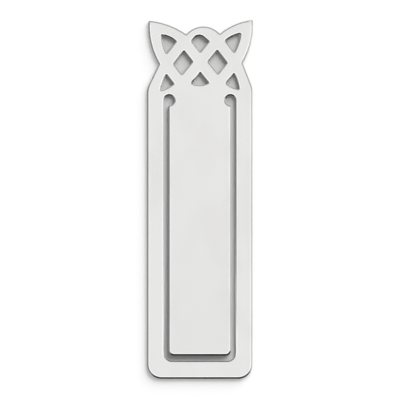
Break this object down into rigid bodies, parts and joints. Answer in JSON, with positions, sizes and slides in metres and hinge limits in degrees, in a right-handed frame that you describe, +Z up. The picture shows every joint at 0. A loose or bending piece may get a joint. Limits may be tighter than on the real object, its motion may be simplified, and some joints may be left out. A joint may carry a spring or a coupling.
{
  "type": "clip bookmark",
  "caption": "Flat silver clip bookmark with a pierced interlaced knot head and a springy page tongue cut free in a rectangular frame.",
  "frame": {"origin": "on the underside, below the middle of the bookmark's length and width", "axes": "+X across to the right as seen from the front, +Y along to the knot head, +Z up out of the front face"},
  "size_m": [0.0253, 0.0862, 0.0014],
  "materials": {
    "polished_silver": "polished"
  },
  "bodies": {
    "frame": {"frame_plate": "polished_silver"},
    "tongue": {"page_tongue": "polished_silver"}
  },
  "joints": [
    {"name": "tongue_flex", "type": "hinge", "parent": "frame", "child": "tongue", "pos_m": [0, 0.02382, 0.0005], "axis": [-1, 0, 0], "range_deg": [-0.37, 7.5], "stiffness_Nm_per_rad": 4.5}
  ]
}
